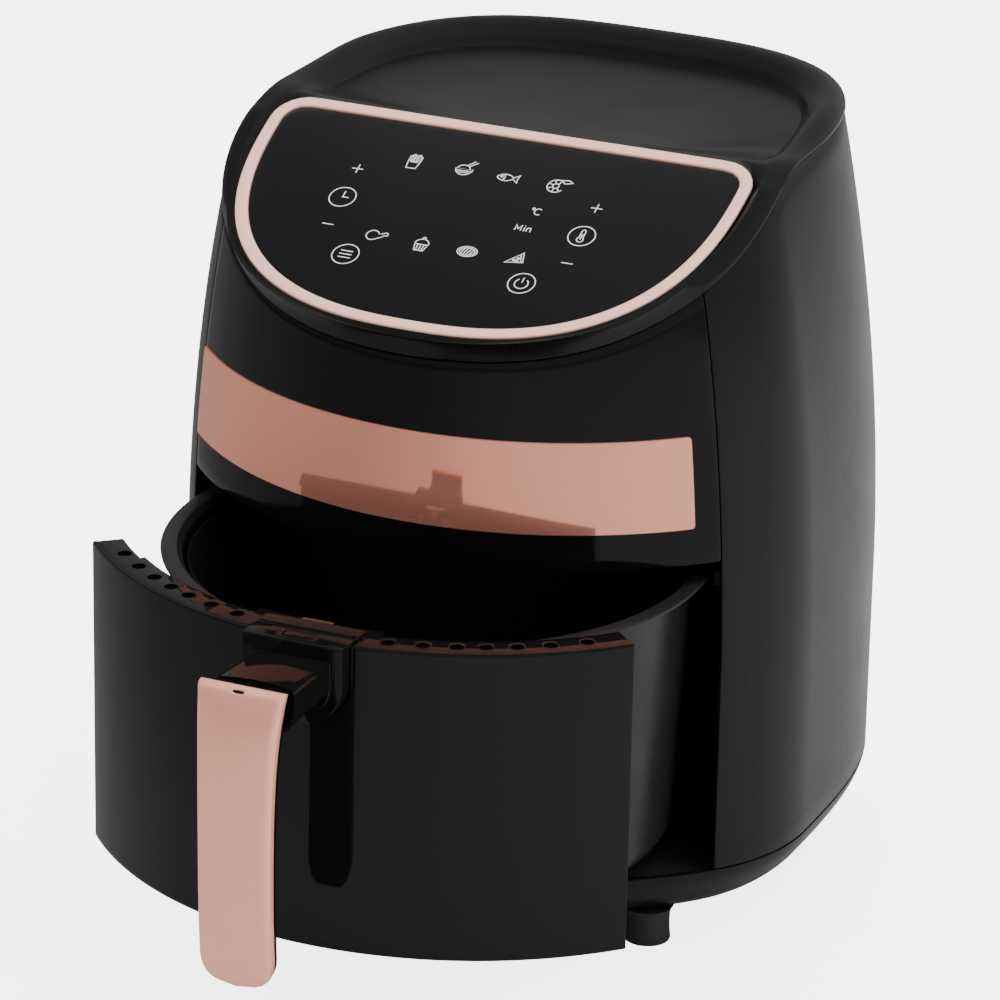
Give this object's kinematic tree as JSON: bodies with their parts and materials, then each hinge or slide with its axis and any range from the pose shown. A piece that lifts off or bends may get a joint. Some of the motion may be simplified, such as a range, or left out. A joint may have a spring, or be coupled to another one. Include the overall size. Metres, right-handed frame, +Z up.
{
  "type": "air fryer",
  "caption": "Rounded countertop air fryer with an open pull-out drawer, inner basket, sloping touch panel and a drop handle.",
  "frame": {"origin": "middle of the bounding box on the plane the feet stand on", "axes": "+X to the right seen from the front, +Y to the back, +Z up; the drawer opens towards -Y"},
  "size_m": [0.2678, 0.4048, 0.315],
  "materials": {
    "gloss_black": "gloss black moulded shells and drawer",
    "matte_black": "fine matte black moulding",
    "rose_gold": "satin rose gold plated trim",
    "panel_glass": "polished black touch panel with white pictograms",
    "pan_grey": "dark grey non-stick coated sheet",
    "non_stick": "black non-stick coating",
    "steel": "bright pressed steel",
    "heater_metal": "dark oxidised heater sheath",
    "ceramic": "off-white ceramic",
    "board_green": "green circuit board",
    "relay_black": "black relay case",
    "rubber": "soft black rubber"
  },
  "bodies": {
    "housing": {"outer_housing": "gloss_black", "front_fascia": "gloss_black", "trim_band": "rose_gold", "top_cover": "gloss_black", "panel_trim_ring": "rose_gold", "touch_panel": "panel_glass", "control_board": "board_green", "display_module": "matte_black", "base_tray": "gloss_black", "drawer_deck": "matte_black", "foot_front_left": "rubber", "foot_front_right": "rubber", "foot_rear_left": "rubber", "foot_rear_right": "rubber", "foot_screw_front_left": "steel", "foot_screw_front_right": "steel", "foot_screw_rear_left": "steel", "foot_screw_rear_right": "steel", "drawer_cavity": "matte_black", "chamber_roof": "matte_black", "heat_dome": "steel", "heating_element": "heater_metal", "temperature_sensor": "steel", "thermal_fuse": "ceramic", "motor_bracket": "steel", "bracket_post_1": "steel", "bracket_post_2": "steel", "bracket_post_3": "steel", "fan_motor": "steel", "drawer_rail_left": "matte_black", "drawer_rail_right": "matte_black", "power_board": "board_green", "power_relay": "relay_black", "door_switch": "matte_black", "rear_vent_grille": "matte_black", "cord_gland": "rubber"},
    "fan": {"hot_fan": "steel", "motor_shaft": "steel", "cooling_fan": "matte_black"},
    "switch_lever": {"switch_lever": "matte_black"},
    "drawer": {"drawer_front": "gloss_black", "drawer_ledge": "gloss_black", "pan": "pan_grey", "basket": "non_stick", "handle_bracket": "gloss_black", "bracket_plate": "steel", "button_spring": "steel", "handle_stem": "gloss_black", "grip_cover": "rose_gold", "grip_back": "gloss_black", "latch_spring_left": "steel", "latch_spring_right": "steel", "latch_clip": "steel"},
    "release_button": {"release_button": "gloss_black"},
    "latch_hook": {"latch_hook": "steel", "latch_rod": "steel"}
  },
  "joints": [
    {"name": "drawer_slide", "type": "slide", "parent": "housing", "child": "drawer", "axis": [0, -1, 0], "range_m": [-0.0856, 0.15]},
    {"name": "release_button", "type": "slide", "parent": "drawer", "child": "release_button", "axis": [0, 0, -1], "range_m": [0, 0.003], "stiffness_N_per_m": 300, "springref_m": -0.002, "deforming": ["button_spring"]},
    {"name": "latch_hook", "type": "hinge", "parent": "drawer", "child": "latch_hook", "pos_m": [0, -0.136, 0.16], "axis": [-1, 0, 0], "range_deg": [0, 12]},
    {"name": "fan_spin", "type": "hinge", "parent": "housing", "child": "fan", "pos_m": [0, 0.063, 0.2], "axis": [0, 0, 1], "continuous": true},
    {"name": "switch_lever", "type": "hinge", "parent": "housing", "child": "switch_lever", "pos_m": [0.088, -0.011, 0.179], "axis": [1, 0, 0], "range_deg": [0, 8], "stiffness_Nm_per_rad": 0.02, "springref_deg": -2.86}
  ],
  "couplings": [
    {"joint": "latch_hook", "follows": "release_button", "rad_per_m": 69.8}
  ]
}
